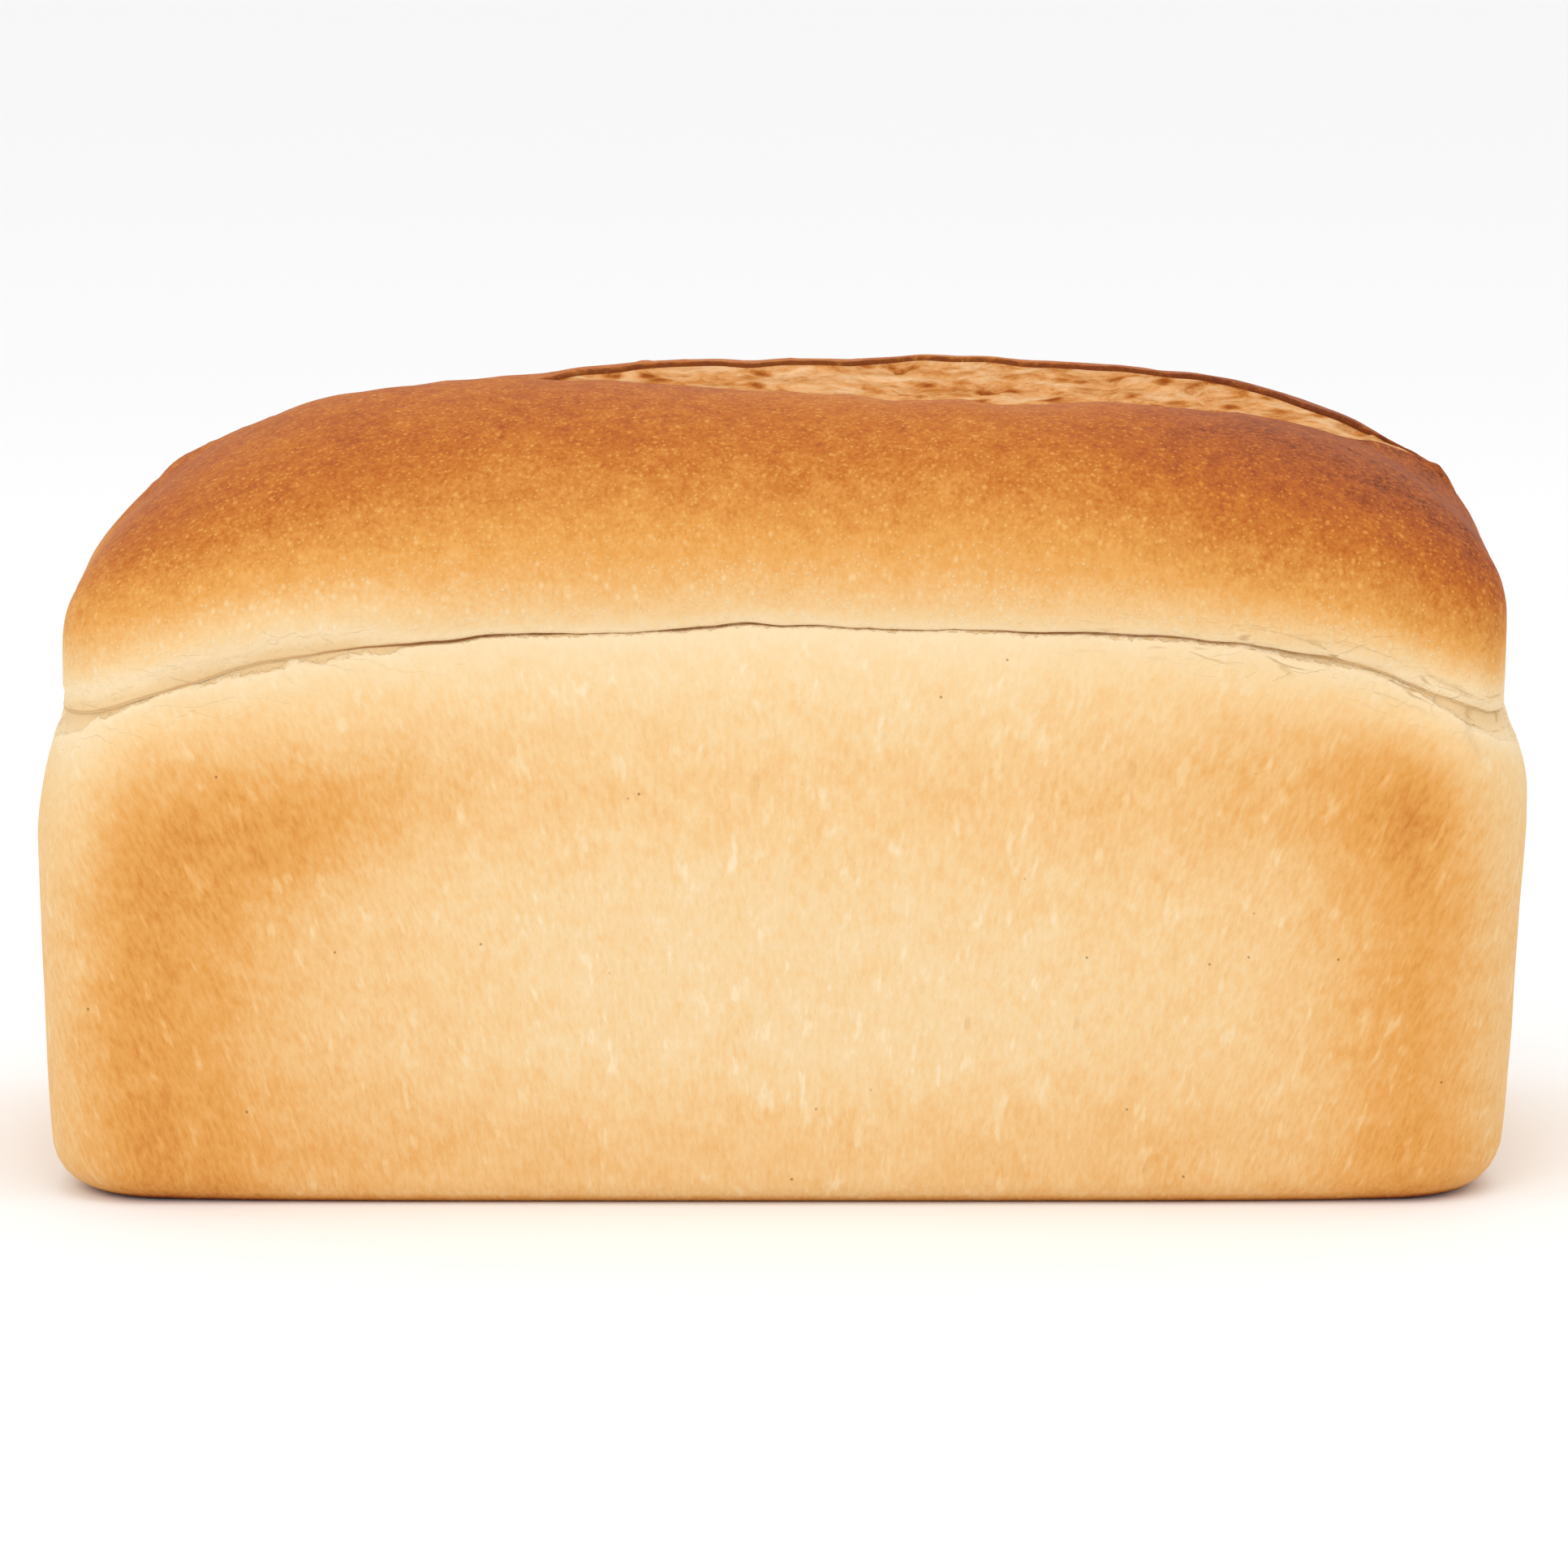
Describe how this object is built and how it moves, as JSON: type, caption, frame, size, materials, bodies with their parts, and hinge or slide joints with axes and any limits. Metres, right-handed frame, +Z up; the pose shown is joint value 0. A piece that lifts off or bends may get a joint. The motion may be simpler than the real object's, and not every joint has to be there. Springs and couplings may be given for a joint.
{
  "type": "white split tin loaf",
  "caption": "Crusty white tin loaf with straight tin-baked sides, a torn line below a domed brown crown, and a split along the top that shows the crumb.",
  "frame": {"origin": "centre of the bounding box in plan, on the flat base that the loaf stands on", "axes": "+X along the loaf, +Y from the front long side to the back long side, +Z up"},
  "size_m": [0.2498, 0.121, 0.135],
  "materials": {
    "crust": "dry baked bread crust, satin brown on the crown and matt gold on the sides"
  },
  "bodies": {
    "root": {"loaf": "crust"}
  },
  "joints": []
}
